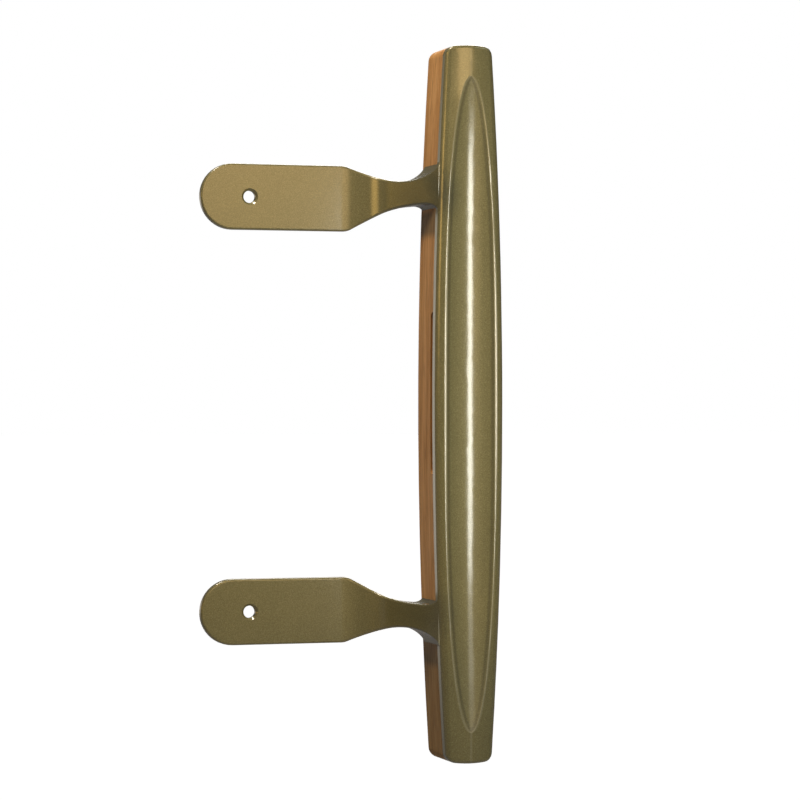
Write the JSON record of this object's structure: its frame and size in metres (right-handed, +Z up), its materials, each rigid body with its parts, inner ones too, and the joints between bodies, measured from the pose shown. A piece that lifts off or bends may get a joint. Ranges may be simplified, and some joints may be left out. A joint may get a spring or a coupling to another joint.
{
  "type": "sliding patio door handle",
  "caption": "Long bowed door pull with an almond scoop along its front, carried by two cranked arms with screw tabs, and a wooden back piece behind the grip.",
  "frame": {"origin": "midway between the two screw holes, on the plane of the backs of the screw tabs", "axes": "+Z up the grip, +X from the screw holes towards the grip, +Y into the door, so the front faces -Y"},
  "size_m": [0.1157, 0.0431, 0.288],
  "materials": {
    "bronze_paint": "satin metallic",
    "lacquered_wood": "lacquered",
    "screw_steel": "zinc plated"
  },
  "bodies": {
    "root": {"handle_casting": "bronze_paint", "grip_back": "lacquered_wood", "grip_screw_top": "screw_steel", "grip_screw_middle": "screw_steel", "grip_screw_bottom": "screw_steel"}
  },
  "joints": []
}
